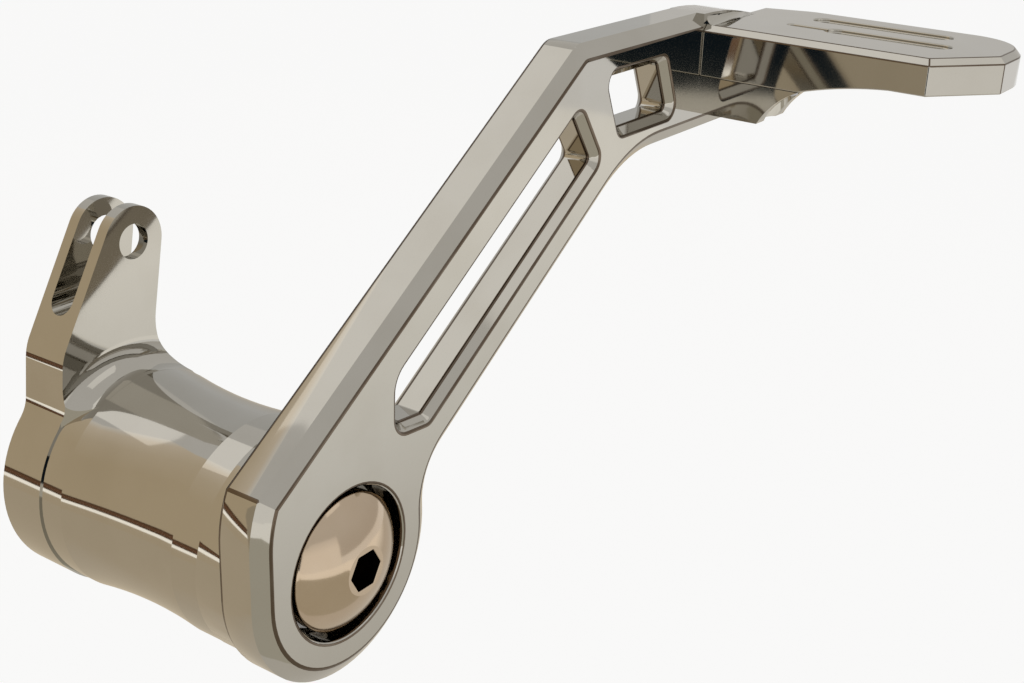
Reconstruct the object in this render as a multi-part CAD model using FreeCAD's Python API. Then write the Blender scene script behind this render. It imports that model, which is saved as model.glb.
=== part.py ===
import FreeCAD, Part
import math
import os

# Rear brake pedal of a motorbike, cut from billet: a cranked arm with two windows, a foot pad
# screwed on its front, and a pivot barrel with a forked lever for the brake rod.
# X points forwards, Z up and +Y to the bike. The origin is on the pivot axis, in the plane of
# the bike's mounting face. Sizes are in millimetres.

V = FreeCAD.Vector

# Lengths along the pivot axis, from the mounting face outwards
END_GAP = 0.3
LEVER_THICKNESS = 12.2
INNER_FLANGE_LENGTH = 6.5
WAIST_LENGTH = 33.2
OUTER_FLANGE_LENGTH = 7.3
HUB_BOSS_LENGTH = 8.0
ARM_THICKNESS = 11.0

# Pivot barrel
LEVER_RING_RADIUS = 26.1
INNER_FLANGE_RADIUS = 25.7
OUTER_FLANGE_RADIUS = 25.1
WAIST_RADIUS = 24.3
BARREL_EDGE_CHAMFER = 0.6

# Forked lever on the barrel
PIN_X = 4.7
PIN_Z = 54.1
PIN_HOLE_RADIUS = 4.0
LEVER_END_RADIUS = 8.0
LEVER_FRONT_FOOT_X = 3.1
LEVER_BACK_KNEE_X = -16.6
LEVER_BACK_KNEE_Z = 33.0
LEVER_BACK_FOOT_X = -20.2
LEVER_BACK_KNEE_RADIUS = 12.0
LEVER_FRONT_FILLET = 16.0
LEVER_BACK_FILLET = 8.0
LEVER_WEB_FILLET = 6.3
LEVER_WEB_INSET = 1.6
FORK_GAP = 6.5
FORK_DEPTH = 13.7

# Arm outline
HUB_RADIUS = 26.4
HUB_BOSS_RADIUS = 25.2
HUB_FLANK_HEIGHT = 12.0
HUB_FLANK_RADIUS = 28.0
ARM_ANGLE = 34.6
ARM_UPPER_OFFSET = 33.2
ARM_LOWER_OFFSET = 5.7
ARM_TOP_Z = 95.5
ARM_LOW_Z = 65.3
ARM_END_X = 173.0
ARM_BEND_RADIUS = 6.4
ARM_KNEE_RADIUS = 38.0
ARM_ROOT_FILLET = 15.0
ARM_SWEEP_LENGTH = 37.0
ARM_SWEEP_RADIUS = 105.0
ARM_END_CORNER_RADIUS = 10.0
ARM_BEVEL_WIDTH = 3.6
ARM_BEVEL_DEPTH = 2.3
ARM_BACK_BEVEL = 0.5

# Windows in the arm
LONG_WINDOW_UPPER_OFFSET = 22.3
LONG_WINDOW_LOWER_OFFSET = 3.8
LONG_WINDOW_END = 112.5
LONG_WINDOW_START_X = 14.2
LONG_WINDOW_START_Z = 23.4
LONG_WINDOW_START_DROP = 1.0
SMALL_WINDOW_TOP_Z = 88.0
SMALL_WINDOW_LOW_Z = 71.0
SMALL_WINDOW_TOP_X = 89.3
SMALL_WINDOW_WIDTH = 28.4
SMALL_WINDOW_SLANT = 0.45
LONG_WINDOW_START_RADIUS = 4.6
LONG_WINDOW_LOW_RADIUS = 3.0
LONG_WINDOW_HIGH_RADIUS = 7.2
WINDOW_CORNER_RADIUS = 3.6
WINDOW_BEVEL_WIDTH = 2.2
WINDOW_BEVEL_DEPTH = 2.2

# Foot pad and the foot that carries it
PAD_TOP_Z = 92.8
PAD_THICKNESS = 13.0
PAD_TIP_THICKNESS = 8.8
PAD_REACH = 150.3
PAD_OVERHANG = 2.0
PAD_WIDTH = 40.0
PAD_OBLIQUE_LENGTH = 12.6
PAD_OBLIQUE_WIDTH = 15.5
PAD_TIP_CORNER_RADIUS = 15.5
PAD_ROOT_TAPER = 4.0
PAD_ROOT_RADIUS = 12.0
PAD_ROOT_BLEND = 2.4
PAD_EDGE_CHAMFER = 1.6
PAD_ARCH_START = 27.0
PAD_ARCH_CREST = 40.8
PAD_ARCH_CREST_RISE = 0.75
PAD_ARCH_END = 50.0
GROOVE_WIDTH = 6.0
GROOVE_DEPTH = 1.0
FRONT_GROOVE_INSET = 28.9
REAR_GROOVE_INSET = 17.0
FRONT_GROOVE_START = 17.0
FRONT_GROOVE_TIP_MARGIN = 17.8
REAR_GROOVE_START = 25.5
REAR_GROOVE_TIP_MARGIN = 13.8
SHORT_GROOVE_START = 15.0
SHORT_GROOVE_WIDTH = 2.4
FOOT_DEPTH = 9.5
FOOT_WIDTH = 15.4
FOOT_LENGTH = 27.2
FOOT_FLAT_LENGTH = 17.0
FOOT_SCOOP_RADIUS = 20.8

# Pivot bolt, washer, bushes and seals
COUNTERBORE_RADIUS = 17.0
COUNTERBORE_DEPTH = 9.0
COUNTERBORE_CHAMFER = 0.4
BOLT_SHOULDER_RADIUS = 7.925
BOLT_THREAD_RADIUS = 6.35
BOLT_THREAD_LENGTH = 20.0
BOLT_HEAD_RADIUS = 15.3
BOLT_HEAD_RIM = 5.5
BOLT_DOME_RISE = 5.4
BOLT_DOME_RADIUS = 22.3
BOLT_SOCKET_RIM = 5.4
BOLT_SOCKET_WIDTH = 8.0
BOLT_SOCKET_DEPTH = 6.0
WASHER_THICKNESS = 2.0
WASHER_RADIUS = 16.2
WASHER_BORE_GAP = 0.2
THRUST_GAP = 0.3
BUSH_WALL = 1.045
BUSH_LENGTH = 25.0
RUNNING_GAP = 0.03
RELIEF_STEP = 0.6
SEAL_SECTION = 1.6
SEAL_CORNER = 0.25
SEAL_GROOVE_DEPTH = 2.0
SEAL_SHAFT_GAP = 0.05
SEAL_WALL_GAP = 0.1

# Fasteners
ARM_SCREW_COUNT = 4
ARM_SCREW_FIRST_ANGLE = 45.0
ARM_SCREW_CIRCLE = 13.2
ARM_SCREW_RADIUS = 1.5
ARM_SCREW_HEAD_RADIUS = 2.75
ARM_SCREW_HEAD_HEIGHT = 3.0
ARM_SCREW_LENGTH = 14.0
ARM_SCREW_SOCKET_WIDTH = 2.5
DOWEL_COUNT = 2
DOWEL_CIRCLE = 21.0
DOWEL_RADIUS = 2.5
DOWEL_LENGTH = 14.0
PAD_SCREW_INSET = 7.7
PAD_SCREW_FIRST = 7.5
PAD_SCREW_PITCH = 12.6
PAD_SCREW_RADIUS = 2.0
PAD_SCREW_HEAD_RADIUS = 3.5
PAD_SCREW_HEAD_HEIGHT = 1.6
PAD_SCREW_LENGTH = 10.0
PAD_SCREW_SOCKET_WIDTH = 2.5
PAD_SCREW_SEAT = 0.8
PAD_SCREW_POCKET_RADIUS = 4.6
HEAD_POCKET_GAP = 0.15
SOCKET_DEPTH_SHARE = 0.6
CUT_MARGIN = 1.0

# Stations along Y, worked out from the lengths above
BARREL_INNER_Y = -END_GAP
LEVER_OUTER_Y = BARREL_INNER_Y - LEVER_THICKNESS
FLANGE_OUTER_Y = LEVER_OUTER_Y - INNER_FLANGE_LENGTH
WAIST_OUTER_Y = FLANGE_OUTER_Y - WAIST_LENGTH
SEAM_Y = WAIST_OUTER_Y - OUTER_FLANGE_LENGTH
ARM_BACK_Y = SEAM_Y - HUB_BOSS_LENGTH
ARM_FRONT_Y = ARM_BACK_Y - ARM_THICKNESS
FLOOR_Y = ARM_FRONT_Y + COUNTERBORE_DEPTH
WASHER_INNER_Y = FLOOR_Y - THRUST_GAP
ARM_SCREW_SEAT_Y = FLOOR_Y + ARM_SCREW_HEAD_HEIGHT + THRUST_GAP
HEAD_INNER_Y = WASHER_INNER_Y - WASHER_THICKNESS
HEAD_RIM_Y = HEAD_INNER_Y - BOLT_HEAD_RIM
HEAD_TOP_Y = HEAD_RIM_Y - BOLT_DOME_RISE
BUSH_BORE_RADIUS = BOLT_SHOULDER_RADIUS + RUNNING_GAP
BUSH_RADIUS = BUSH_BORE_RADIUS + BUSH_WALL
SEAL_INNER_RADIUS = BOLT_SHOULDER_RADIUS + SEAL_SHAFT_GAP
SEAL_GROOVE_RADIUS = SEAL_INNER_RADIUS + SEAL_SECTION + SEAL_WALL_GAP
OUTER_BUSH_Y = FLOOR_Y + SEAL_GROOVE_DEPTH
INNER_BUSH_Y = BARREL_INNER_Y - SEAL_GROOVE_DEPTH

# Places of the pad, which keeps to the arm's end
ARM_SWEEP_START_X = ARM_END_X - ARM_SWEEP_LENGTH
PAD_FRONT_X = ARM_END_X + PAD_OVERHANG
PAD_BACK_X = PAD_FRONT_X - PAD_WIDTH
PAD_LENGTH = PAD_REACH + ARM_FRONT_Y
PAD_SCREW_X = PAD_BACK_X + PAD_SCREW_INSET
PAD_UNDER_Z = PAD_TOP_Z - PAD_THICKNESS
FOOT_LOW_Z = PAD_UNDER_Z - FOOT_DEPTH
PAD_SCREW_SEAT_Z = PAD_UNDER_Z - PAD_SCREW_SEAT

ALONG = V(math.cos(math.radians(ARM_ANGLE)), 0, math.sin(math.radians(ARM_ANGLE)))
ACROSS = V(-ALONG.z, 0, ALONG.x)
Y_AXIS = V(0, 1, 0)


def on_arm(along, across):
    """A point of the XZ plane given along the arm's slope and square to it."""
    return ALONG * along + ACROSS * across


def at_height(across, z):
    """The point of the line at this offset from the arm's axis that lies at height z."""
    return on_arm((z - ACROSS.z * across) / ALONG.z, across)


def line(start, end):
    return Part.LineSegment(start, end).toShape()


def arc(start, middle, end):
    return Part.Arc(start, middle, end).toShape()


def unit(vector):
    return vector * (1.0 / vector.Length)


def rounded_chain(corners):
    """Edges through corners (point, radius), with a tangent arc at each inner corner."""
    edges = []
    last = corners[0][0]
    for index in range(1, len(corners) - 1):
        point, radius = corners[index]
        back = unit(corners[index - 1][0] - point)
        ahead = unit(corners[index + 1][0] - point)
        if radius <= 0:
            edges.append(line(last, point))
            last = point
            continue
        half = back.getAngle(ahead) / 2
        reach = radius / math.tan(half)
        centre = point + unit(back + ahead) * (radius / math.sin(half))
        start = point + back * reach
        end = point + ahead * reach
        middle = centre + unit(point - centre) * radius
        edges.append(line(last, start))
        edges.append(arc(start, middle, end))
        last = end
    edges.append(line(last, corners[-1][0]))
    return edges


def closed_chain(corners):
    """A closed wire through rounded corners, begun in the middle of its last side."""
    seam = (corners[-1][0] + corners[0][0]) * 0.5
    return Part.Wire(rounded_chain([(seam, 0)] + corners + [(seam, 0)]))


def inset_corners(corners, inset, normal):
    """The corners of a loop with each side moved inwards. A corner's radius follows."""
    points = [corner[0] for corner in corners]
    count = len(points)
    moved = []
    for index in range(count):
        before = unit(points[index] - points[index - 1])
        after = unit(points[(index + 1) % count] - points[index])
        side = normal.cross(before)
        turn = normal.dot(before.cross(after))
        slide = inset * (1 - before.dot(after)) / turn
        point = points[index] + side * inset - before * slide
        radius = corners[index][1] - math.copysign(inset, turn)
        moved.append((point, max(radius, 0)))
    return moved


def lifted(wire, offset):
    copy = wire.copy()
    copy.translate(offset)
    return copy


def prism(wire, start, depth, direction=Y_AXIS):
    """A solid of this flat wire, moved by start along the direction and made depth long."""
    return Part.Face(lifted(wire, direction * start)).extrude(direction * depth)


def bevelled_band(wide, narrow, wide_y, narrow_y):
    return Part.makeLoft([lifted(wide, Y_AXIS * wide_y), lifted(narrow, Y_AXIS * narrow_y)], True, True)


def cylinder(radius, start_y, end_y, x=0.0, z=0.0):
    low = min(start_y, end_y)
    return Part.makeCylinder(radius, abs(end_y - start_y), V(x, low, z), Y_AXIS)


def turned(profile):
    """A solid turned about the Y axis from (radius, y) points."""
    points = [V(radius, y, 0) for radius, y in profile]
    wire = Part.makePolygon(points + [points[0]])
    return Part.Face(wire).revolve(V(0, 0, 0), Y_AXIS, 360)


def hexagon(width, centre, axis, depth):
    """A hexagonal prism of this width across its flats."""
    radius = width / math.sqrt(3)
    angles = [math.radians(60 * k) for k in range(6)]
    points = [V(radius * math.cos(angle), radius * math.sin(angle), 0) for angle in angles]
    solid = Part.Face(Part.makePolygon(points + [points[0]])).extrude(V(0, 0, depth))
    solid.Placement = FreeCAD.Placement(centre, FreeCAD.Rotation(V(0, 0, 1), axis))
    return solid


def fused(first, *others):
    return first.fuse(list(others)).removeSplitter()


def edges_at(shape, test):
    return [edge for edge in shape.Edges if test(edge)]


def centre_of(edge):
    return edge.valueAt((edge.FirstParameter + edge.LastParameter) / 2)


def on_circle(radius, count, start_angle):
    """Places (x, z) spaced evenly on a circle about the pivot."""
    angles = [math.radians(start_angle + 360.0 * k / count) for k in range(count)]
    return [(radius * math.cos(angle), radius * math.sin(angle)) for angle in angles]


def arm_screw_places():
    return on_circle(ARM_SCREW_CIRCLE, ARM_SCREW_COUNT, ARM_SCREW_FIRST_ANGLE)


def dowel_places():
    return on_circle(DOWEL_CIRCLE, DOWEL_COUNT, 0.0)


def arm_outline(inset):
    """The arm's outline in the XZ plane, with its sides moved in by inset."""
    hub = HUB_RADIUS - inset
    upper = ARM_UPPER_OFFSET - inset
    lower = inset - ARM_LOWER_OFFSET
    top_z = ARM_TOP_Z - inset
    root = ARM_ROOT_FILLET + inset

    root_centre = on_arm(math.sqrt((hub + root) ** 2 - (lower - root) ** 2), lower - root)
    hub_end = root_centre * (hub / (hub + root))
    root_end = root_centre + ACROSS * root
    root_middle = root_centre + unit(unit(hub_end - root_centre) + ACROSS) * root

    sweep_centre = V(ARM_SWEEP_START_X, 0, ARM_TOP_Z - ARM_SWEEP_RADIUS)
    sweep = ARM_SWEEP_RADIUS - inset
    sweep_angle = math.asin((ARM_END_X - ARM_SWEEP_START_X) / sweep)
    sweep_end = sweep_centre + V(math.sin(sweep_angle), 0, math.cos(sweep_angle)) * sweep
    sweep_middle = sweep_centre + V(math.sin(sweep_angle / 2), 0, math.cos(sweep_angle / 2)) * sweep
    low_z = ARM_LOW_Z + inset

    flank = HUB_FLANK_RADIUS - inset
    flank_centre = V(HUB_FLANK_RADIUS - HUB_RADIUS, 0, HUB_FLANK_HEIGHT)
    rise = upper - flank_centre.dot(ACROSS)
    shoulder = flank_centre + ACROSS * rise - ALONG * math.sqrt(flank ** 2 - rise ** 2)
    flank_start = V(-hub, 0, HUB_FLANK_HEIGHT)
    halfway = unit(unit(shoulder - flank_centre) + V(-1, 0, 0))

    edges = [arc(V(-hub, 0, 0), V(0, 0, -hub), hub_end), arc(hub_end, root_middle, root_end)]
    edges += rounded_chain([(root_end, 0), (at_height(lower, low_z), ARM_KNEE_RADIUS + inset),
                            (V(ARM_END_X, 0, low_z), 0), (sweep_end, 0)])
    edges.append(arc(sweep_end, sweep_middle, V(ARM_SWEEP_START_X, 0, top_z)))
    edges += rounded_chain([(V(ARM_SWEEP_START_X, 0, top_z), 0),
                            (at_height(upper, top_z), ARM_BEND_RADIUS - inset), (shoulder, 0)])
    edges.append(arc(shoulder, flank_centre + halfway * flank, flank_start))
    edges.append(line(flank_start, V(-hub, 0, 0)))
    return Part.Wire(edges)


def long_window_corners():
    """The long window's rim at the arm's front, anticlockwise seen from the front."""
    upper_start = (LONG_WINDOW_START_X - ACROSS.x * LONG_WINDOW_UPPER_OFFSET) / ALONG.x
    low = LONG_WINDOW_START_Z - LONG_WINDOW_START_DROP
    return [
        (V(LONG_WINDOW_START_X, 0, LONG_WINDOW_START_Z), LONG_WINDOW_START_RADIUS),
        (at_height(LONG_WINDOW_LOWER_OFFSET, low), LONG_WINDOW_LOW_RADIUS),
        (on_arm(LONG_WINDOW_END, LONG_WINDOW_LOWER_OFFSET), WINDOW_CORNER_RADIUS),
        (on_arm(LONG_WINDOW_END, LONG_WINDOW_UPPER_OFFSET), WINDOW_CORNER_RADIUS),
        (on_arm(upper_start, LONG_WINDOW_UPPER_OFFSET), LONG_WINDOW_HIGH_RADIUS),
    ]


def small_window_corners():
    """The small window's rim at the arm's front: a slanted box."""
    shift = SMALL_WINDOW_SLANT * (SMALL_WINDOW_TOP_Z - SMALL_WINDOW_LOW_Z)
    low_x = SMALL_WINDOW_TOP_X + shift
    return [
        (V(low_x, 0, SMALL_WINDOW_LOW_Z), WINDOW_CORNER_RADIUS),
        (V(low_x + SMALL_WINDOW_WIDTH, 0, SMALL_WINDOW_LOW_Z), WINDOW_CORNER_RADIUS),
        (V(SMALL_WINDOW_TOP_X + SMALL_WINDOW_WIDTH, 0, SMALL_WINDOW_TOP_Z), WINDOW_CORNER_RADIUS),
        (V(SMALL_WINDOW_TOP_X, 0, SMALL_WINDOW_TOP_Z), WINDOW_CORNER_RADIUS),
    ]


def window_cut(corners):
    """A through window with a bevelled rim on both faces of the arm."""
    rim = closed_chain(corners)
    wall = closed_chain(inset_corners(corners, WINDOW_BEVEL_WIDTH, V(0, -1, 0)))
    hole = prism(wall, ARM_FRONT_Y - CUT_MARGIN, ARM_THICKNESS + 2 * CUT_MARGIN)
    front = bevelled_band(rim, wall, ARM_FRONT_Y, ARM_FRONT_Y + WINDOW_BEVEL_DEPTH)
    back = bevelled_band(rim, wall, ARM_BACK_Y, ARM_BACK_Y - WINDOW_BEVEL_DEPTH)
    return hole.fuse([front, back])


def arm_bevel(full, front_y):
    """What the wide bevel takes off round the plate's front. It stops beside the pad."""
    sharp = prism(full, ARM_FRONT_Y, ARM_BEVEL_DEPTH)
    sloped = bevelled_band(full, arm_outline(ARM_BEVEL_WIDTH), front_y, ARM_FRONT_Y)
    beside_pad = Part.makeBox(PAD_WIDTH, ARM_BEVEL_DEPTH, PAD_THICKNESS + ARM_TOP_Z - PAD_TOP_Z,
                              V(PAD_BACK_X, ARM_FRONT_Y, PAD_UNDER_Z))
    return sharp.cut(sloped).cut(beside_pad)


def end_corner():
    """What rounds the back corner of the plate's end, seen from above."""
    radius = ARM_END_CORNER_RADIUS
    centre = V(ARM_END_X - radius, ARM_BACK_Y - radius, 0)
    square = Part.makeBox(radius + CUT_MARGIN, radius + CUT_MARGIN, ARM_TOP_Z, centre)
    return square.cut(Part.makeCylinder(radius, ARM_TOP_Z, centre))


def arm_plate():
    """The cranked plate with a wide bevel round its front and a small one round its back."""
    full = arm_outline(0)
    front_y = ARM_FRONT_Y + ARM_BEVEL_DEPTH
    back_y = ARM_BACK_Y - ARM_BACK_BEVEL
    block = prism(full, ARM_FRONT_Y, back_y - ARM_FRONT_Y)
    back = bevelled_band(full, arm_outline(ARM_BACK_BEVEL), back_y, ARM_BACK_Y)
    return fused(block.cut(arm_bevel(full, front_y)), back).cut(end_corner())


def foot():
    """The foot that stands out of the arm under the pad, with a scooped outer end."""
    flat_end = ARM_FRONT_Y - FOOT_FLAT_LENGTH
    tip = V(0, ARM_FRONT_Y - FOOT_LENGTH, PAD_UNDER_Z)
    start = V(0, flat_end, FOOT_LOW_Z)
    chord = tip - start
    inwards = unit(V(0, chord.z, -chord.y))
    hollow = FOOT_SCOOP_RADIUS - math.sqrt(FOOT_SCOOP_RADIUS ** 2 - (chord.Length / 2) ** 2)
    middle = (start + tip) * 0.5 + inwards * hollow
    inside = ARM_FRONT_Y + ARM_BEVEL_DEPTH
    wire = Part.Wire([line(V(0, inside, FOOT_LOW_Z), start), arc(start, middle, tip),
                      line(tip, V(0, inside, PAD_UNDER_Z)),
                      line(V(0, inside, PAD_UNDER_Z), V(0, inside, FOOT_LOW_Z))])
    return prism(wire, PAD_BACK_X, FOOT_WIDTH, V(1, 0, 0))


def pad_screw_places():
    first = ARM_FRONT_Y - PAD_SCREW_FIRST
    return [(PAD_SCREW_X, first), (PAD_SCREW_X, first - PAD_SCREW_PITCH)]


def pad_screw_hole(x, y):
    """A screw hole up through the foot into the pad, with a pocket for the head."""
    seat = V(x, y, PAD_SCREW_SEAT_Z)
    head = Part.makeCylinder(PAD_SCREW_POCKET_RADIUS, FOOT_DEPTH, seat - V(0, 0, FOOT_DEPTH))
    return head.fuse(Part.makeCylinder(PAD_SCREW_RADIUS, PAD_SCREW_LENGTH, seat))


def counterbore():
    """The recess for the bolt's head in the hub, with its edge broken."""
    mouth = COUNTERBORE_RADIUS + COUNTERBORE_CHAMFER
    outside = ARM_FRONT_Y - CUT_MARGIN
    return turned([(0, outside), (mouth, outside), (mouth, ARM_FRONT_Y),
                   (COUNTERBORE_RADIUS, ARM_FRONT_Y + COUNTERBORE_CHAMFER),
                   (COUNTERBORE_RADIUS, FLOOR_Y), (0, FLOOR_Y)])


def make_brake_arm():
    plate = arm_plate()
    boss = cylinder(HUB_BOSS_RADIUS, SEAM_Y, ARM_BACK_Y - ARM_BACK_BEVEL)
    body = fused(plate, boss, foot())
    cuts = [
        window_cut(long_window_corners()),
        window_cut(small_window_corners()),
        counterbore(),
        cylinder(SEAL_GROOVE_RADIUS, FLOOR_Y - CUT_MARGIN, OUTER_BUSH_Y),
        cylinder(BUSH_RADIUS, FLOOR_Y, SEAM_Y + CUT_MARGIN),
    ]
    pocket = ARM_SCREW_HEAD_RADIUS + HEAD_POCKET_GAP
    for x, z in arm_screw_places():
        cuts.append(cylinder(pocket, FLOOR_Y - CUT_MARGIN, ARM_SCREW_SEAT_Y, x, z))
        cuts.append(cylinder(ARM_SCREW_RADIUS, FLOOR_Y, SEAM_Y + CUT_MARGIN, x, z))
    for x, z in dowel_places():
        cuts.append(cylinder(DOWEL_RADIUS, SEAM_Y - DOWEL_LENGTH / 2, SEAM_Y + CUT_MARGIN, x, z))
    for x, y in pad_screw_places():
        cuts.append(pad_screw_hole(x, y))
    return body.cut(cuts)


def lever_plate():
    """The flat lever with its round ring, blended where the lever leaves the ring."""
    pin = V(PIN_X, 0, PIN_Z)
    front_foot = V(LEVER_FRONT_FOOT_X, 0, 0)
    back_knee = V(LEVER_BACK_KNEE_X, 0, LEVER_BACK_KNEE_Z)
    front_touch = tangent_point(pin, LEVER_END_RADIUS, front_foot, 1)
    back_touch = tangent_point(pin, LEVER_END_RADIUS, back_knee, -1)
    edges = [arc(front_touch, pin + V(0, 0, LEVER_END_RADIUS), back_touch)]
    edges += rounded_chain([(back_touch, 0), (back_knee, LEVER_BACK_KNEE_RADIUS),
                            (V(LEVER_BACK_FOOT_X, 0, 0), 0), (front_foot, 0), (front_touch, 0)])
    blade = prism(Part.Wire(edges), LEVER_OUTER_Y, LEVER_THICKNESS)
    ring = cylinder(LEVER_RING_RADIUS, LEVER_OUTER_Y, BARREL_INNER_Y)
    plate = fused(blade, ring)

    def is_root(edge):
        middle = centre_of(edge)
        upright = abs(edge.tangentAt(edge.FirstParameter).y) > 0.99
        on_ring = abs(math.hypot(middle.x, middle.z) - LEVER_RING_RADIUS) < 0.01
        at_blade = abs(middle.x - LEVER_FRONT_FOOT_X) < LEVER_END_RADIUS or middle.x < LEVER_BACK_KNEE_X
        return upright and on_ring and at_blade and middle.z > CUT_MARGIN

    roots = edges_at(plate, is_root)
    front = [edge for edge in roots if centre_of(edge).x > 0]
    back = [edge for edge in roots if centre_of(edge).x < 0]
    return plate.makeFillet(LEVER_FRONT_FILLET, front).makeFillet(LEVER_BACK_FILLET, back)


def tangent_point(centre, radius, outside, side):
    """Where a line from an outside point touches a circle; side picks front or back."""
    away = outside - centre
    tilt = math.acos(radius / away.Length)
    turn = FreeCAD.Rotation(Y_AXIS, math.degrees(-side * tilt))
    return centre + turn.multVec(unit(away)) * radius


def root_direction(foot_x, head, fillet, side):
    """The way from the pivot to where the lever's root fillet meets the ring."""
    slope = unit(head - V(foot_x, 0, 0))
    normal = V(slope.z, 0, -slope.x) * side
    share = (normal.x * foot_x + fillet) / (LEVER_RING_RADIUS + fillet)
    turn = FreeCAD.Rotation(Y_AXIS, -side * math.degrees(math.acos(share)))
    return turn.multVec(normal)


def lever_web():
    """The concave blend from the lever's outer face down to the inner flange.

    Its back end is cut on a slant, so that it runs out at the lever's back edge.
    """
    root = INNER_FLANGE_RADIUS
    reach = LEVER_WEB_FILLET
    corner = V(root, LEVER_OUTER_Y, 0)
    hollow = V(root + reach, LEVER_OUTER_Y - reach, 0)
    middle = hollow + unit(corner - hollow) * reach
    inner = root - CUT_MARGIN
    wire = Part.Wire([
        arc(V(root + reach, LEVER_OUTER_Y, 0), middle, V(root, LEVER_OUTER_Y - reach, 0)),
        line(V(root, LEVER_OUTER_Y - reach, 0), V(inner, LEVER_OUTER_Y - reach, 0)),
        line(V(inner, LEVER_OUTER_Y - reach, 0), V(inner, LEVER_OUTER_Y, 0)),
        line(V(inner, LEVER_OUTER_Y, 0), V(root + reach, LEVER_OUTER_Y, 0)),
    ])
    collar = Part.Face(wire).revolve(V(0, 0, 0), Y_AXIS, 360)
    pin = V(PIN_X, 0, PIN_Z)
    front_touch = tangent_point(pin, LEVER_END_RADIUS, V(LEVER_FRONT_FOOT_X, 0, 0), 1)
    back_knee = V(LEVER_BACK_KNEE_X, 0, LEVER_BACK_KNEE_Z)
    front = root_direction(LEVER_FRONT_FOOT_X, front_touch, LEVER_FRONT_FILLET, 1) * PIN_Z
    back = root_direction(LEVER_BACK_FOOT_X, back_knee, LEVER_BACK_FILLET, -1) * PIN_Z
    wedge = prism(Part.makePolygon([V(0, 0, 0), front, front + back, back, V(0, 0, 0)]),
                  LEVER_OUTER_Y - reach - CUT_MARGIN, reach + 2 * CUT_MARGIN)
    blade = lever_plate()
    blade.translate(Y_AXIS * -reach)
    heel = V(LEVER_BACK_FOOT_X + LEVER_WEB_INSET, LEVER_OUTER_Y, 0)
    span = 2 * reach
    slant = Part.makePolygon([heel, heel + V(span, -span, 0), heel + V(-span, -span, 0),
                              heel + V(-span, 0, 0), heel])
    return collar.common(wedge).common(blade).cut(prism(slant, 0, PIN_Z, V(0, 0, 1)))


def barrel_body():
    """The turned barrel: two flanges and a waist that is a shallow hollow curve."""
    chamfer = BARREL_EDGE_CHAMFER
    waist_pull = 2 * WAIST_RADIUS - (INNER_FLANGE_RADIUS + OUTER_FLANGE_RADIUS) / 2
    flange = V(INNER_FLANGE_RADIUS, FLANGE_OUTER_Y, 0)
    outer = V(OUTER_FLANGE_RADIUS, WAIST_OUTER_Y, 0)
    waist = Part.BezierCurve()
    waist.setPoles([flange, V(waist_pull, (FLANGE_OUTER_Y + WAIST_OUTER_Y) / 2, 0), outer])
    wire = Part.Wire([
        line(V(0, BARREL_INNER_Y - chamfer, 0), V(INNER_FLANGE_RADIUS, BARREL_INNER_Y - chamfer, 0)),
        line(V(INNER_FLANGE_RADIUS, BARREL_INNER_Y - chamfer, 0), flange),
        waist.toShape(),
        line(outer, V(OUTER_FLANGE_RADIUS, SEAM_Y, 0)),
        line(V(OUTER_FLANGE_RADIUS, SEAM_Y, 0), V(0, SEAM_Y, 0)),
        line(V(0, SEAM_Y, 0), V(0, BARREL_INNER_Y - chamfer, 0)),
    ])
    return Part.Face(wire).revolve(V(0, 0, 0), Y_AXIS, 360)


def fork_cut():
    """The fork's slot, open at the top, with a round bottom."""
    middle_y = (BARREL_INNER_Y + LEVER_OUTER_Y) / 2
    half = FORK_GAP / 2
    low_z = PIN_Z - FORK_DEPTH + half
    start_x = LEVER_BACK_FOOT_X - CUT_MARGIN
    width = PIN_X + LEVER_END_RADIUS + CUT_MARGIN - start_x
    slot = Part.makeBox(width, FORK_GAP, FORK_DEPTH + LEVER_END_RADIUS, V(start_x, middle_y - half, low_z))
    bottom = Part.makeCylinder(half, width, V(start_x, middle_y, low_z), V(1, 0, 0))
    return slot.fuse(bottom)


def make_pivot_barrel():
    body = fused(barrel_body(), lever_plate(), lever_web())
    relief = BUSH_RADIUS + RELIEF_STEP
    cuts = [
        fork_cut(),
        cylinder(PIN_HOLE_RADIUS, BARREL_INNER_Y + CUT_MARGIN, LEVER_OUTER_Y - CUT_MARGIN, PIN_X, PIN_Z),
        cylinder(BUSH_RADIUS, BARREL_INNER_Y + CUT_MARGIN, SEAM_Y - CUT_MARGIN),
        cylinder(relief, INNER_BUSH_Y - BUSH_LENGTH, OUTER_BUSH_Y + BUSH_LENGTH),
        cylinder(SEAL_GROOVE_RADIUS, BARREL_INNER_Y + CUT_MARGIN, INNER_BUSH_Y),
    ]
    screw_end = ARM_SCREW_SEAT_Y + ARM_SCREW_LENGTH
    for x, z in arm_screw_places():
        cuts.append(cylinder(ARM_SCREW_RADIUS, SEAM_Y - CUT_MARGIN, screw_end, x, z))
    for x, z in dowel_places():
        cuts.append(cylinder(DOWEL_RADIUS, SEAM_Y - CUT_MARGIN, SEAM_Y + DOWEL_LENGTH / 2, x, z))
    return body.cut(cuts)


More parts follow.
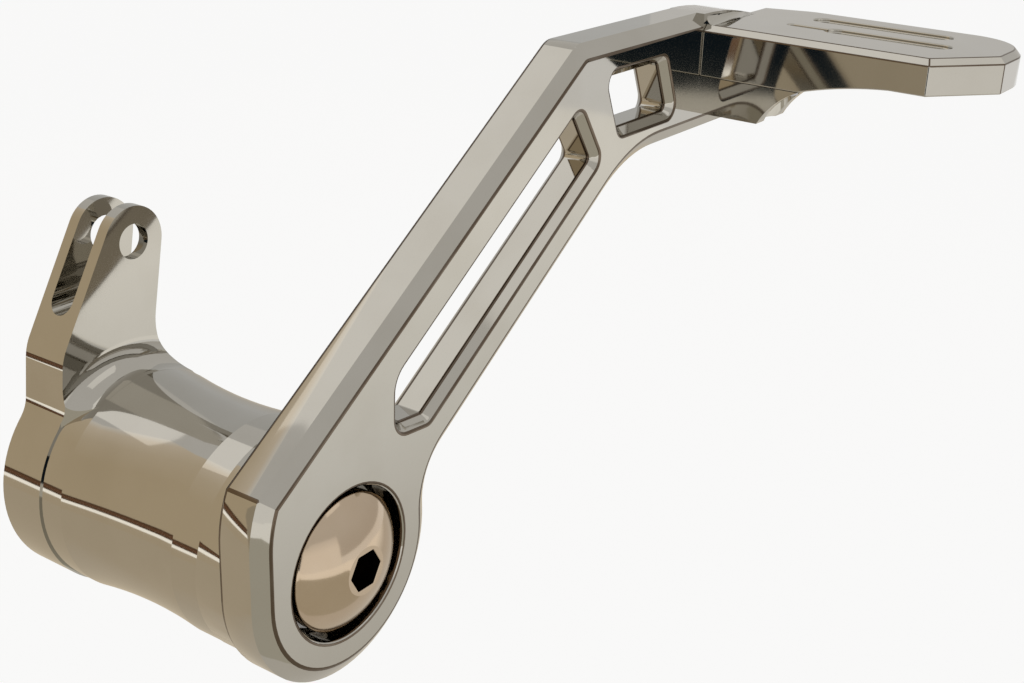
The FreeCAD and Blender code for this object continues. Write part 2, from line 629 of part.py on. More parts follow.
def make_foot_pad():
    """The pad: a plate cut to its plan, arched underneath, with grooves in its top."""
    near = ARM_FRONT_Y
    far = ARM_FRONT_Y - PAD_LENGTH
    front_x = PAD_BACK_X + PAD_WIDTH
    plan = closed_chain([
        (V(PAD_BACK_X, near, 0), 0),
        (V(PAD_BACK_X, far + PAD_OBLIQUE_LENGTH, 0), 0),
        (V(PAD_BACK_X + PAD_OBLIQUE_WIDTH, far, 0), 0),
        (V(front_x, far, 0), PAD_TIP_CORNER_RADIUS),
        (V(front_x, near - PAD_ROOT_RADIUS, 0), PAD_ROOT_RADIUS),
        (V(front_x - PAD_ROOT_TAPER, near, 0), 0),
    ])
    block = prism(plan, PAD_TOP_Z - PAD_THICKNESS, PAD_THICKNESS, V(0, 0, 1))

    tip_z = PAD_TOP_Z - PAD_TIP_THICKNESS
    start = V(0, near - PAD_ARCH_START, PAD_UNDER_Z)
    end = V(0, near - PAD_ARCH_END, tip_z)
    crest = V(0, near - PAD_ARCH_CREST, PAD_UNDER_Z + (tip_z - PAD_UNDER_Z) * PAD_ARCH_CREST_RISE)
    low_z = PAD_UNDER_Z - CUT_MARGIN
    beyond = far - CUT_MARGIN
    hollow = Part.Wire([arc(start, crest, end), line(end, V(0, beyond, tip_z)),
                        line(V(0, beyond, tip_z), V(0, beyond, low_z)),
                        line(V(0, beyond, low_z), V(0, start.y, low_z)),
                        line(V(0, start.y, low_z), start)])
    pad = block.cut(prism(hollow, PAD_BACK_X - CUT_MARGIN, PAD_WIDTH + 2 * CUT_MARGIN, V(1, 0, 0)))

    def is_top_rim(edge):
        middle = centre_of(edge)
        return abs(middle.z - PAD_TOP_Z) < 0.01 and middle.y < near - 0.01

    pad = pad.makeChamfer(PAD_EDGE_CHAMFER, edges_at(pad, is_top_rim))
    front_groove_x = PAD_BACK_X + FRONT_GROOVE_INSET
    rear_groove_x = PAD_BACK_X + REAR_GROOVE_INSET
    front_groove_end = PAD_LENGTH - FRONT_GROOVE_TIP_MARGIN
    rear_groove_end = PAD_LENGTH - REAR_GROOVE_TIP_MARGIN
    cuts = [
        groove(front_groove_x, GROOVE_WIDTH, FRONT_GROOVE_START, front_groove_end),
        groove(rear_groove_x, GROOVE_WIDTH, REAR_GROOVE_START, rear_groove_end),
        groove(rear_groove_x, SHORT_GROOVE_WIDTH, SHORT_GROOVE_START, REAR_GROOVE_START + CUT_MARGIN),
    ]
    for x, y in pad_screw_places():
        cuts.append(pad_screw_hole(x, y))
    return fused(pad.cut(cuts), pad_root_blend())


def pad_root_blend():
    """The concave strip between the pad's top and the arm's front, as high as the arm's top there."""
    reach = PAD_ROOT_BLEND
    high = V(0, ARM_FRONT_Y, PAD_TOP_Z + reach)
    low = V(0, ARM_FRONT_Y - reach, PAD_TOP_Z)
    corner = V(0, ARM_FRONT_Y, PAD_TOP_Z)
    hollow = V(0, ARM_FRONT_Y - reach, PAD_TOP_Z + reach)
    middle = hollow + unit(corner - hollow) * reach
    wire = Part.Wire([arc(high, middle, low), line(low, corner), line(corner, high)])
    strip = prism(wire, PAD_BACK_X + PAD_EDGE_CHAMFER, PAD_WIDTH, V(1, 0, 0))
    return strip.common(prism(arm_outline(0), ARM_FRONT_Y - reach, reach))


def groove(middle_x, width, start, end):
    """A shallow groove with round ends in the pad's top."""
    half = width / 2
    near_y = ARM_FRONT_Y - start - half
    far_y = ARM_FRONT_Y - end + half
    floor = PAD_TOP_Z - GROOVE_DEPTH
    box = Part.makeBox(width, near_y - far_y, 2 * GROOVE_DEPTH, V(middle_x - half, far_y, floor))
    ends = [Part.makeCylinder(half, 2 * GROOVE_DEPTH, V(middle_x, y, floor)) for y in (near_y, far_y)]
    return box.fuse(ends)


def make_pad_screws():
    screws = []
    depth = PAD_SCREW_HEAD_HEIGHT * SOCKET_DEPTH_SHARE
    for x, y in pad_screw_places():
        seat = V(x, y, PAD_SCREW_SEAT_Z)
        low = seat - V(0, 0, PAD_SCREW_HEAD_HEIGHT)
        head = Part.makeCylinder(PAD_SCREW_HEAD_RADIUS, PAD_SCREW_HEAD_HEIGHT, low)
        shank = Part.makeCylinder(PAD_SCREW_RADIUS, PAD_SCREW_LENGTH, seat)
        screws.append(fused(head, shank).cut(hexagon(PAD_SCREW_SOCKET_WIDTH, low, V(0, 0, 1), depth)))
    return Part.makeCompound(screws)


def make_pivot_bolt():
    """The shoulder bolt: a domed head with a hexagon socket, a plain shoulder and a thread end."""
    dome_centre_y = HEAD_TOP_Y + math.sqrt(BOLT_DOME_RADIUS ** 2 - BOLT_SOCKET_RIM ** 2)
    rim = V(BOLT_HEAD_RADIUS, HEAD_RIM_Y, 0)
    crown = V(BOLT_SOCKET_RIM, HEAD_TOP_Y, 0)
    dome_centre = V(0, dome_centre_y, 0)
    on_dome = dome_centre + unit(rim + crown - dome_centre * 2) * BOLT_DOME_RADIUS
    foot_of_dome = math.sqrt(BOLT_DOME_RADIUS ** 2 - BOLT_HEAD_RADIUS ** 2)
    rim = V(BOLT_HEAD_RADIUS, dome_centre_y - foot_of_dome, 0)
    edges = [line(V(0, HEAD_TOP_Y, 0), crown), arc(crown, on_dome, rim)]
    steps = [rim, V(BOLT_HEAD_RADIUS, HEAD_INNER_Y, 0), V(BOLT_SHOULDER_RADIUS, HEAD_INNER_Y, 0),
             V(BOLT_SHOULDER_RADIUS, 0, 0), V(BOLT_THREAD_RADIUS, 0, 0),
             V(BOLT_THREAD_RADIUS, BOLT_THREAD_LENGTH, 0), V(0, BOLT_THREAD_LENGTH, 0), V(0, HEAD_TOP_Y, 0)]
    edges += [line(first, second) for first, second in zip(steps, steps[1:])]
    bolt = Part.Face(Part.Wire(edges)).revolve(V(0, 0, 0), Y_AXIS, 360)
    mouth = V(0, HEAD_TOP_Y - CUT_MARGIN, 0)
    return bolt.cut(hexagon(BOLT_SOCKET_WIDTH, mouth, Y_AXIS, BOLT_SOCKET_DEPTH + CUT_MARGIN))


def make_thrust_washer():
    washer = cylinder(WASHER_RADIUS, HEAD_INNER_Y, WASHER_INNER_Y)
    return washer.cut(cylinder(BOLT_SHOULDER_RADIUS + WASHER_BORE_GAP, HEAD_INNER_Y - CUT_MARGIN,
                               WASHER_INNER_Y + CUT_MARGIN))


def bush(start_y, end_y):
    outside = cylinder(BUSH_RADIUS, start_y, end_y)
    return outside.cut(cylinder(BUSH_BORE_RADIUS, start_y - CUT_MARGIN, end_y + CUT_MARGIN))


def seal(middle_y):
    """A seal ring of square section, with its corners broken, round the bolt's shoulder."""
    inner = SEAL_INNER_RADIUS
    outer = inner + SEAL_SECTION
    low = middle_y - SEAL_SECTION / 2
    high = middle_y + SEAL_SECTION / 2
    broken = SEAL_CORNER
    return turned([(inner, low + broken), (inner + broken, low), (outer - broken, low),
                   (outer, low + broken), (outer, high - broken), (outer - broken, high),
                   (inner + broken, high), (inner, high - broken)])


def make_arm_screws():
    """The screws that hold the arm to the barrel, with their heads under the washer."""
    screws = []
    top_y = ARM_SCREW_SEAT_Y - ARM_SCREW_HEAD_HEIGHT
    depth = ARM_SCREW_HEAD_HEIGHT * SOCKET_DEPTH_SHARE
    for x, z in arm_screw_places():
        head = cylinder(ARM_SCREW_HEAD_RADIUS, top_y, ARM_SCREW_SEAT_Y, x, z)
        shank = cylinder(ARM_SCREW_RADIUS, ARM_SCREW_SEAT_Y, ARM_SCREW_SEAT_Y + ARM_SCREW_LENGTH, x, z)
        screws.append(fused(head, shank).cut(hexagon(ARM_SCREW_SOCKET_WIDTH, V(x, top_y, z), Y_AXIS, depth)))
    return Part.makeCompound(screws)


def make_arm_dowels():
    half = DOWEL_LENGTH / 2
    places = dowel_places()
    return Part.makeCompound([cylinder(DOWEL_RADIUS, SEAM_Y - half, SEAM_Y + half, x, z) for x, z in places])


def main():
    os.makedirs("parts", exist_ok=True)
    nodes = {
        "brake_arm": make_brake_arm(),
        "pivot_barrel": make_pivot_barrel(),
        "foot_pad": make_foot_pad(),
        "pad_screws": make_pad_screws(),
        "pivot_bolt": make_pivot_bolt(),
        "thrust_washer": make_thrust_washer(),
        "outer_bush": bush(OUTER_BUSH_Y, OUTER_BUSH_Y + BUSH_LENGTH),
        "inner_bush": bush(INNER_BUSH_Y - BUSH_LENGTH, INNER_BUSH_Y),
        "outer_seal": seal((FLOOR_Y + OUTER_BUSH_Y) / 2),
        "inner_seal": seal((BARREL_INNER_Y + INNER_BUSH_Y) / 2),
        "arm_screws": make_arm_screws(),
        "arm_dowels": make_arm_dowels(),
    }
    for name, shape in nodes.items():
        shape.exportStep("parts/" + name + ".step")


main()
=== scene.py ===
import math

import bpy
from mathutils import Matrix, Vector


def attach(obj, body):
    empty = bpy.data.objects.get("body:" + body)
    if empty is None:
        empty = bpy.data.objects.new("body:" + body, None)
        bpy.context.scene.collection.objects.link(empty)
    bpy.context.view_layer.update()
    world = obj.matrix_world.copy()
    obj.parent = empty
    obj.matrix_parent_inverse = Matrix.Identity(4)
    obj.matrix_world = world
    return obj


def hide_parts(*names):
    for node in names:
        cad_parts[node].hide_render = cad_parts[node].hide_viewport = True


# The looks of a chromed rear brake pedal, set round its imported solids. Everything is in metres,
# with X forwards, Z up and the bike on the +Y side.

MM = 0.001

CAMERA_PLACE = (-199.69 * MM, -254.94 * MM, 161.24 * MM)
CAMERA_RIGHT = (0.5798, -0.8141, 0.0335)
CAMERA_UP = (0.2954, 0.2485, 0.9226)
CAMERA_LENS = 52.21
SENSOR_WIDTH = 36.0
NEAREST = 0.01

FLOOR_Z = -0.30
FLOOR_SIZE = 8.0
PEDAL = (0.05, -0.07, 0.03)

# Finishes: the main tone, then the tone that it drifts to in patches
CHROME = (0.50, 0.478, 0.432, 1)
CHROME_HAZE = (0.46, 0.435, 0.385, 1)
NICKEL = (0.57, 0.46, 0.345, 1)
NICKEL_HAZE = (0.50, 0.38, 0.265, 1)
# Painted shade, with painted glints, for the dark inside of the bolt's hexagon socket
SOCKET_PAINTED_SHADE = (0.035, 0.026, 0.018, 1)
SOCKET_PAINTED_GLINT = (0.10, 0.07, 0.045, 1)
# A fine dark line of painted shadow along the blunt rims, and its paler drift
RIM_SHADOW = (0.13, 0.098, 0.072, 1)
RIM_SHADOW_PALE = (0.22, 0.185, 0.15, 1)
STEEL = (0.42, 0.42, 0.43, 1)
STEEL_DULL = (0.34, 0.34, 0.345, 1)
BRONZE = (0.55, 0.36, 0.17, 1)
BRONZE_DULL = (0.42, 0.25, 0.11, 1)
RUBBER = (0.022, 0.022, 0.024, 1)
RUBBER_DUSTY = (0.045, 0.044, 0.043, 1)
PATCH_START = 0.45
PATCH_CONTRAST = 2.2
GLOSS_FINENESS = 2.3
RELIEF_FINENESS = 0.6

# The rounded copies: how near two corners are one, how flat two faces are one, which edges are a
# blunt rim and which are sharp, and the corner of the slim lip at the pad's root
WELD = 1e-6
FLATNESS = math.radians(0.3)
RIM_ANGLE = math.radians(28.0)
EDGE_ANGLE = math.radians(50.0)
ROOT_CORNER = (130.0 * MM, -81.5 * MM, 90.5 * MM)

# The bolt: its socket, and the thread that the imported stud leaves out
SOCKET_REACH = 4.7 * MM
SOCKET_MOUTH_Y = -82.3 * MM
SOCKET_FLOOR_Y = -76.0 * MM
THREAD_RADIUS = 6.35 * MM
THREAD_CORE = 5.72 * MM
THREAD_ROOT = 0.10 * MM
THREAD_PITCH = 1.954 * MM
THREAD_START = 1.25 * MM
THREAD_TURNS = 9
THREAD_STEPS = 48
THREAD_FILL = 0.96
THREAD_SMOOTH = math.radians(35.0)
TRIANGLE_HEIGHT = 1.5
TRIANGLE_SIDE = math.sqrt(3)

# The studio: what the polished metal sees round the pedal
FLOOR_PALE = (0.90, 0.89, 0.87, 1)
FLOOR_GLOW = 0.85
FLOOR_ROUGHNESS = 0.9
DOME_STOPS = [(0.0, (0.60, 0.58, 0.54, 1)), (0.5, (0.62, 0.60, 0.57, 1)), (0.62, (0.66, 0.65, 0.63, 1)),
              (0.76, (0.68, 0.67, 0.65, 1)), (1.0, (0.68, 0.67, 0.65, 1))]
TAUPE_LOW = (0.60, 0.50, 0.36, 1)
TAUPE = (0.61, 0.50, 0.345, 1)
TAUPE_HIGH = (0.66, 0.555, 0.41, 1)
TAUPE_PALE = (0.76, 0.66, 0.53, 1)
TAUPE_DEEP = (0.44, 0.375, 0.275, 1)
GREY = (0.56, 0.56, 0.55, 1)
GREY_WARM = (0.48, 0.45, 0.40, 1)
DOME_PALE = (0.84, 0.81, 0.76, 1)
BROWN = (0.09, 0.05, 0.025, 1)
BROWN_RED = (0.20, 0.10, 0.055, 1)
TAUPE_NEAR = (0.54, 0.51, 0.43, 1)
BOARD = (1.0, 0.985, 0.95, 1)
BOARD_TOP = (0.80, 0.79, 0.77, 1)
WHITE = (1.5, 1.45, 1.35, 1)
NAVY = (0.012, 0.022, 0.034, 1)
NAVY_SOFT = (0.05, 0.06, 0.065, 1)
TABLE_FRONT = (1.12, 1.10, 1.05, 1)
TABLE_FACE = (0.93, 0.92, 0.88, 1)
TABLE_NEAR = (0.66, 0.63, 0.575, 1)
TABLE_BACK = (0.60, 0.51, 0.38, 1)

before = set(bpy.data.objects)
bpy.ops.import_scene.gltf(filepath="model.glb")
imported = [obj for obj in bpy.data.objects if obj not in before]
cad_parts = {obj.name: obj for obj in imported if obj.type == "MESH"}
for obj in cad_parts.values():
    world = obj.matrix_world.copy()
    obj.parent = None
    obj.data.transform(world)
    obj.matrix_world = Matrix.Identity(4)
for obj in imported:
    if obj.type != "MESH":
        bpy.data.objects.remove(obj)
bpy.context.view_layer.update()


class Shade:
    """A shader socket that takes part in Python expressions, each of which adds a Math node."""

    def __init__(self, tree, socket):
        self.tree = tree
        self.socket = socket

    def math(self, operation, first, second):
        return node(self.tree, "ShaderNodeMath", {"operation": operation}, {0: first, 1: second})

    def __add__(self, other):
        return self.math("ADD", self, other)

    def __sub__(self, other):
        return self.math("SUBTRACT", self, other)

    def __rsub__(self, other):
        return self.math("SUBTRACT", other, self)

    def __mul__(self, other):
        return self.math("MULTIPLY", self, other)

    __radd__ = __add__
    __rmul__ = __mul__

    def clamped(self):
        return node(self.tree, "ShaderNodeClamp", {}, {"Value": self})


def node(tree, kind, settings, values, output=0):
    """Adds a node, sets its settings and a ramp's stops, then its sockets, and returns one output."""
    made = tree.nodes.new(kind)
    for name, value in settings.items():
        if name == "stops":
            elements = made.color_ramp.elements
            elements.remove(elements[-1])
            elements[0].position, elements[0].color = value[0]
            for position, colour in value[1:]:
                elements.new(position).color = colour
        else:
            setattr(made, name, value)
    for key, value in values.items():
        if isinstance(value, Shade):
            tree.links.new(value.socket, made.inputs[key])
        else:
            made.inputs[key].default_value = value
    return Shade(tree, made.outputs[output])


def ramp(tree, factor, stops):
    """A colour ramp with stops of (position, colour)."""
    return node(tree, "ShaderNodeValToRGB", {"stops": stops}, {"Fac": factor}, "Color")


def new_material(name):
    material = bpy.data.materials.new(name)
    material.use_nodes = True
    tree = material.node_tree
    return material, tree, tree.nodes["Principled BSDF"]


def object_place(tree):
    return node(tree, "ShaderNodeTexCoord", {}, {}, "Object")


def noise(tree, scale, detail, roughness=0.5):
    values = {"Vector": object_place(tree), "Scale": scale, "Detail": detail, "Roughness": roughness}
    return node(tree, "ShaderNodeTexNoise", {}, values, "Fac")


def mixed(tree, factor, first, second):
    return node(tree, "ShaderNodeMix", {"data_type": "RGBA"}, {"Factor": factor, 6: first, 7: second}, 2)


def finished(name, colour, second, metallic, roughness, spread, scale, relief, depth):
    """A surface whose colour drifts to a second tone in soft patches, with uneven gloss and fine relief."""
    material, tree, surface = new_material(name)
    surface.inputs["Metallic"].default_value = metallic
    patches = ((noise(tree, scale, 4.0) - PATCH_START) * PATCH_CONTRAST).clamped()
    tree.links.new(mixed(tree, patches, colour, second).socket, surface.inputs["Base Color"])
    gloss = noise(tree, scale * GLOSS_FINENESS, 6.0, 0.6) * spread + (roughness - spread / 2)
    tree.links.new(gloss.socket, surface.inputs["Roughness"])
    values = {"Strength": relief, "Distance": depth, "Height": noise(tree, scale * RELIEF_FINENESS, 1.0)}
    bump = node(tree, "ShaderNodeBump", {}, values, "Normal")
    tree.links.new(bump.socket, surface.inputs["Normal"])
    return material


def studio_world():
    """A plain pale studio dome, darkest towards the ground."""
    world = bpy.data.worlds.new("studio")
    world.use_nodes = True
    tree = world.node_tree
    direction = node(tree, "ShaderNodeTexCoord", {}, {}, "Generated")
    height = node(tree, "ShaderNodeSeparateXYZ", {}, {"Vector": direction}, "Z")
    dome = ramp(tree, height * 0.5 + 0.5, DOME_STOPS)
    tree.links.new(dome.socket, tree.nodes["Background"].inputs["Color"])
    bpy.context.scene.world = world


def floor():
    """The plain pale floor, well below the pedal, which looks nearly white, in metal too."""
    bpy.ops.mesh.primitive_plane_add(size=FLOOR_SIZE, location=(0, 0, FLOOR_Z))
    plane = bpy.context.object
    plane.name = "floor"
    material, tree, surface = new_material("floor_pale")
    surface.inputs["Base Color"].default_value = FLOOR_PALE
    surface.inputs["Roughness"].default_value = FLOOR_ROUGHNESS
    white = node(tree, "ShaderNodeEmission", {}, {"Color": (1, 1, 1, 1), "Strength": 1.0}, "Emission")
    camera_ray = node(tree, "ShaderNodeLightPath", {}, {}, "Is Camera Ray")
    glossy_ray = node(tree, "ShaderNodeLightPath", {}, {}, "Is Glossy Ray")
    clear_ray = node(tree, "ShaderNodeLightPath", {}, {}, "Is Transmission Ray")
    seen = (camera_ray + glossy_ray + clear_ray).clamped() * FLOOR_GLOW
    pale = Shade(tree, surface.outputs[0])
    both = node(tree, "ShaderNodeMixShader", {}, {"Fac": seen, 1: pale, 2: white}, "Shader")
    tree.links.new(both.socket, tree.nodes["Material Output"].inputs["Surface"])
    plane.data.materials.append(material)


def card(name, centre, facing, width, height, stops):
    """A studio card that the polished metal reflects.

    Its stops run from its foot upwards, and on a lying card from the back of the table to the front.
    """
    bpy.ops.mesh.primitive_plane_add(size=1.0)
    sheet = bpy.context.object
    sheet.name = name
    turn = Vector(facing).to_track_quat("Z", "Y").to_matrix().to_4x4()
    sheet.matrix_world = Matrix.Translation(centre) @ turn @ Matrix.Diagonal((width, height, 1.0, 1.0))
    material, tree, surface = new_material(name)
    across = node(tree, "ShaderNodeSeparateXYZ", {}, {"Vector": object_place(tree)}, "Y") + 0.5
    colour = ramp(tree, across, stops)
    glow = node(tree, "ShaderNodeEmission", {}, {"Color": colour, "Strength": 1.0}, "Emission")
    tree.links.new(glow.socket, tree.nodes["Material Output"].inputs["Surface"])
    sheet.data.materials.append(material)
    sheet.visible_camera = False
    sheet.visible_diffuse = False
    sheet.visible_shadow = False


def standing(name, azimuth, distance, width, stops):
    """A card that stands at this azimuth from the pedal and faces it, with stops of (height, colour)."""
    low_z, high_z = stops[0][0], stops[-1][0]
    angle = math.radians(azimuth)
    away = Vector((math.cos(angle), math.sin(angle), 0.0))
    centre = away * distance + Vector((0, 0, (low_z + high_z) / 2))
    heights = [((z - low_z) / (high_z - low_z), colour) for z, colour in stops]
    card(name, centre, -away, width, high_z - low_z, heights)


def lamp(name, azimuth, elevation, distance, size, radiance, colour):
    """A square soft lamp that faces the pedal. The metal shows it a little brighter than its radiance."""
    level, height = math.radians(azimuth), math.radians(elevation)
    flat = Vector((math.cos(level), math.sin(level), 0.0))
    away = flat * math.cos(height) + Vector((0.0, 0.0, math.sin(height)))
    place = Vector(PEDAL) + away * distance
    data = bpy.data.lights.new(name, "AREA")
    data.size = size
    data.energy = radiance * math.pi * size ** 2
    data.color = colour
    holder = bpy.data.objects.new(name, data)
    bpy.context.scene.collection.objects.link(holder)
    holder.matrix_world = Matrix.Translation(place) @ (-away).to_track_quat("-Z", "Y").to_matrix().to_4x4()


def camera():
    data = bpy.data.cameras.new("camera")
    data.lens = CAMERA_LENS
    data.sensor_width = SENSOR_WIDTH
    data.clip_start = NEAREST
    holder = bpy.data.objects.new("camera", data)
    bpy.context.scene.collection.objects.link(holder)
    right = Vector(CAMERA_RIGHT).normalized()
    up = Vector(CAMERA_UP).normalized()
    back = right.cross(up)
    turn = Matrix((right, up, back)).transposed().to_4x4()
    holder.matrix_world = Matrix.Translation(CAMERA_PLACE) @ turn
    bpy.context.scene.camera = holder


def dress(name, material):
    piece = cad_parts[name]
    piece.data.materials.clear()
    piece.data.materials.append(material)


def rounded(piece, name, width, segments, limit, held_back):
    """Rounds the edges sharper than a limit, or without one the marked edges, which get the second material,
    a dark line of painted shadow.

    Held back, it stays narrow enough not to run over the next edge.
    """
    edge = piece.modifiers.new(name, "BEVEL")
    edge.width = width
    edge.segments = segments
    edge.miter_outer = "MITER_ARC"
    edge.harden_normals = True
    edge.use_clamp_overlap = held_back
    edge.limit_method = "ANGLE" if limit else "WEIGHT"
    if limit:
        edge.angle_limit = limit
    else:
        edge.material = 1
    bpy.ops.object.modifier_apply(modifier=name)


def mark_rims():
    """Marks the blunt rims between a face and its bevel, and leaves the sharper edges unmarked."""
    bpy.ops.mesh.select_mode(type="EDGE")
    for sharpness, weight in ((RIM_ANGLE, 1.0), (EDGE_ANGLE, -1.0)):
        bpy.ops.mesh.select_all(action="DESELECT")
        bpy.ops.mesh.edges_select_sharp(sharpness=sharpness)
        bpy.ops.transform.edge_bevelweight(value=weight)


def spare_root(piece):
    """Takes the marks off the slim lip at the pad's root, which has no room for a rim line."""
    marks = piece.data.attributes["bevel_weight_edge"].data
    corners = piece.data.vertices
    for edge in piece.data.edges:
        middle = (corners[edge.vertices[0]].co + corners[edge.vertices[1]].co) / 2
        if all(place > start for place, start in zip(middle, ROOT_CORNER)):
            marks[edge.index].value = 0.0


def softened(name, body, material, width, limit, rim_width=None, held_back=True):
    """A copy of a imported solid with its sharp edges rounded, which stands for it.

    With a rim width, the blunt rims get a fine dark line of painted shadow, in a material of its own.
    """
    piece = bpy.data.objects.new(name + "_polished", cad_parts[name].data.copy())
    bpy.context.scene.collection.objects.link(piece)
    bpy.ops.object.select_all(action="DESELECT")
    bpy.context.view_layer.objects.active = piece
    piece.select_set(True)
    piece.data.materials.clear()
    piece.data.materials.append(material)
    bpy.ops.object.mode_set(mode="EDIT")
    bpy.ops.mesh.select_all(action="SELECT")
    bpy.ops.mesh.remove_doubles(threshold=WELD)
    bpy.ops.mesh.dissolve_limited(angle_limit=FLATNESS)
    if rim_width:
        mark_rims()
    bpy.ops.object.mode_set(mode="OBJECT")
    if rim_width:
        spare_root(piece)
        piece.data.materials.append(rim_shadow)
        # Paints a fine shadow line onto the marked rims
        rounded(piece, "rim_painted_shadow", rim_width, segments=2, limit=None, held_back=False)
    rounded(piece, "edge_round", width, segments=4, limit=limit, held_back=held_back)
    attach(piece, body)
    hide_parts(name)
    return piece


def paint_socket_shade(bolt):
    """Paints shade on the walls and floor of the hexagon socket: a dark painted shade with painted glints,
    where the recess lies in shadow.
    """
    bolt.data.materials.append(socket_painted_shade)
    for face in bolt.data.polygons:
        across = math.hypot(face.center.x, face.center.z)
        if across < SOCKET_REACH and SOCKET_MOUTH_Y < face.center.y < SOCKET_FLOOR_Y:
            face.material_index = 1


def about_pivot(x, y, z):
    """Scales what is selected from a point on the pivot axis."""
    bpy.ops.transform.resize(value=(x, y, z), center_override=(0, 0, 0))


def cut_down_stud(bolt):
    """Takes the stud from the thread's outer size down to its core."""
    bpy.ops.object.select_all(action="DESELECT")
    bpy.context.view_layer.objects.active = bolt
    bolt.select_set(True)
    bpy.ops.object.mode_set(mode="EDIT")
    bpy.ops.mesh.select_mode(type="VERT")
    bpy.ops.mesh.select_all(action="DESELECT")
    bpy.ops.object.mode_set(mode="OBJECT")
    for vertex in bolt.data.vertices:
        across = math.hypot(vertex.co.x, vertex.co.z)
        vertex.select = vertex.co.y > -MM and across < THREAD_RADIUS + 0.1 * MM
    bpy.ops.object.mode_set(mode="EDIT")
    about_pivot(THREAD_CORE / THREAD_RADIUS, 1, THREAD_CORE / THREAD_RADIUS)
    bpy.ops.object.mode_set(mode="OBJECT")


def bolt_thread():
    """The helical ridge round the stud, a pointed profile wound about the pivot axis."""
    bpy.ops.mesh.primitive_circle_add(vertices=3, radius=1.0, fill_type="NOTHING", location=(0, 0, 0))
    ridge = bpy.context.object
    ridge.name = "bolt_thread"
    bpy.ops.object.mode_set(mode="EDIT")
    bpy.ops.mesh.select_all(action="SELECT")
    bpy.ops.transform.rotate(value=math.radians(90), orient_axis="Z", center_override=(0, 0, 0))
    tip = (THREAD_RADIUS - THREAD_CORE + THREAD_ROOT) / TRIANGLE_HEIGHT
    about_pivot(tip, THREAD_PITCH * THREAD_FILL / TRIANGLE_SIDE, 1)
    bpy.ops.transform.translate(value=(THREAD_RADIUS - tip, THREAD_START, 0))
    bpy.ops.object.mode_set(mode="OBJECT")
    wind = ridge.modifiers.new("wind", "SCREW")
    wind.axis = "Y"
    wind.angle = math.tau
    wind.screw_offset = THREAD_PITCH
    wind.iterations = THREAD_TURNS
    wind.steps = THREAD_STEPS
    wind.render_steps = THREAD_STEPS
    bpy.ops.object.modifier_apply(modifier="wind")
    bpy.ops.object.mode_set(mode="EDIT")
    bpy.ops.mesh.select_all(action="SELECT")
    bpy.ops.mesh.fill_holes(sides=3)
    bpy.ops.mesh.select_all(action="SELECT")
    bpy.ops.mesh.normals_make_consistent(inside=False)
    bpy.ops.object.mode_set(mode="OBJECT")
    bpy.ops.object.shade_smooth_by_angle(angle=THREAD_SMOOTH)
    ridge.data.materials.append(nickel)
    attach(ridge, "pivot")


bpy.ops.object.select_all(action="DESELECT")
bpy.context.scene.view_settings.view_transform = "Standard"
studio_world()
floor()
standing("warm_wall", azimuth=132.0, distance=0.85, width=1.15,
         stops=[(-0.29, TAUPE_LOW), (-0.181, TAUPE_LOW), (-0.180, WHITE), (-0.142, WHITE), (-0.140, BROWN),
                (-0.11, BROWN_RED), (-0.078, BROWN), (-0.074, TAUPE), (0.45, TAUPE), (0.75, TAUPE_HIGH),
                (0.98, TAUPE_PALE), (1.10, DOME_PALE)])
card("table", centre=(0.0, -0.10, -0.27), facing=(0, 0, 1), width=2.6, height=2.6,
     stops=[(0.0, TABLE_BACK), (0.38, TABLE_BACK), (0.48, TABLE_NEAR), (0.565, TABLE_NEAR),
            (0.64, TABLE_FACE), (0.73, TABLE_FRONT), (1.0, TABLE_FRONT)])
card("side_wall", centre=(-0.45, 0.02, -0.03), facing=(1, 0, 0), width=0.36, height=0.48,
     stops=[(0.0, TAUPE_DEEP), (0.85, TAUPE_DEEP), (1.0, TAUPE)])
standing("grey_back", azimuth=60.0, distance=0.36, width=0.70,
         stops=[(-0.26, TAUPE_LOW), (-0.05, GREY_WARM), (0.06, GREY), (0.30, GREY)])
card("dark_side", centre=(-0.40, -0.36, 0.035), facing=(0.9, 0.42, 0.0), width=0.24, height=0.19,
     stops=[(0.0, NAVY_SOFT), (0.15, NAVY), (1.0, NAVY)])
card("near_table", centre=(-0.20, -0.50, -0.262), facing=(0, 0, 1), width=0.80, height=0.60,
     stops=[(0.0, TAUPE_NEAR), (1.0, TAUPE_NEAR)])
standing("front_board", azimuth=-105.0, distance=1.4, width=1.2,
         stops=[(-0.27, BOARD), (0.20, BOARD), (0.45, BOARD_TOP)])
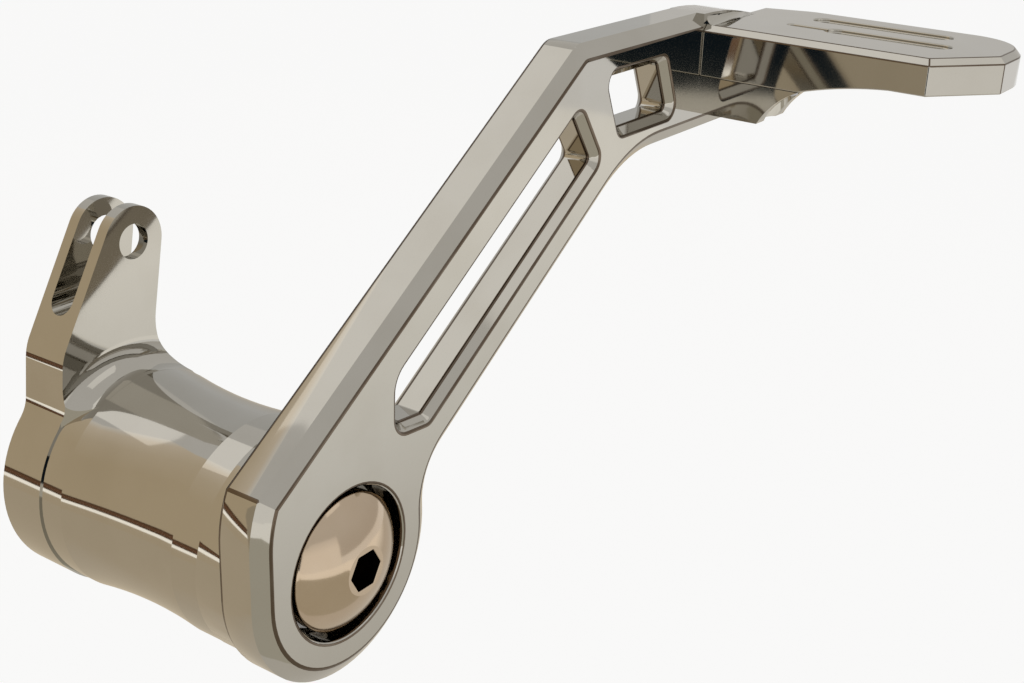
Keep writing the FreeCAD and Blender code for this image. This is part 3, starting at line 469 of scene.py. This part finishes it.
lamp("key", azimuth=96.0, elevation=59.0, distance=1.2, size=0.66, radiance=0.38, colour=(1.0, 0.99, 0.97))
lamp("fill", azimuth=-72.0, elevation=52.0, distance=1.2, size=0.50, radiance=0.30, colour=(1.0, 0.99, 0.97))
camera()

chrome = finished("chrome", CHROME, CHROME_HAZE, metallic=1.0, roughness=0.055, spread=0.04,
                  scale=60.0, relief=0.08, depth=0.0006)
nickel = finished("nickel", NICKEL, NICKEL_HAZE, metallic=1.0, roughness=0.10, spread=0.06,
                  scale=50.0, relief=0.10, depth=0.0006)
steel = finished("steel", STEEL, STEEL_DULL, metallic=1.0, roughness=0.30, spread=0.16,
                 scale=300.0, relief=0.25, depth=0.0001)
bronze = finished("bronze", BRONZE, BRONZE_DULL, metallic=1.0, roughness=0.33, spread=0.18,
                  scale=260.0, relief=0.30, depth=0.0001)
rubber = finished("rubber", RUBBER, RUBBER_DUSTY, metallic=0.0, roughness=0.62, spread=0.20,
                  scale=400.0, relief=0.35, depth=0.0001)
# Painted shade with painted glints for the inside of the bolt's socket
socket_painted_shade = finished("socket_painted_shade", SOCKET_PAINTED_SHADE, SOCKET_PAINTED_GLINT, metallic=1.0, roughness=0.30, spread=0.12,
                        scale=180.0, relief=0.20, depth=0.0002)
# Painted shadow for the fine dark line along the blunt rims
rim_shadow = finished("rim_shadow", RIM_SHADOW, RIM_SHADOW_PALE, metallic=1.0, roughness=0.10, spread=0.06,
                      scale=90.0, relief=0.08, depth=0.0006)
finishes = {
    chrome: ("brake_arm", "pivot_barrel", "foot_pad"),
    nickel: ("pivot_bolt",),
    steel: ("thrust_washer", "pad_screws", "arm_screws", "arm_dowels"),
    bronze: ("outer_bush", "inner_bush"),
    rubber: ("outer_seal", "inner_seal"),
}
for finish, names in finishes.items():
    for name in names:
        dress(name, finish)

softened("brake_arm", "pedal", chrome, width=0.0007, limit=EDGE_ANGLE, rim_width=0.00045)
softened("foot_pad", "pedal", chrome, width=0.0004, limit=EDGE_ANGLE, rim_width=0.00022,
         held_back=False)
bolt = softened("pivot_bolt", "pivot", nickel, width=0.0004, limit=RIM_ANGLE)
paint_socket_shade(bolt)
cut_down_stud(bolt)
bolt_thread()
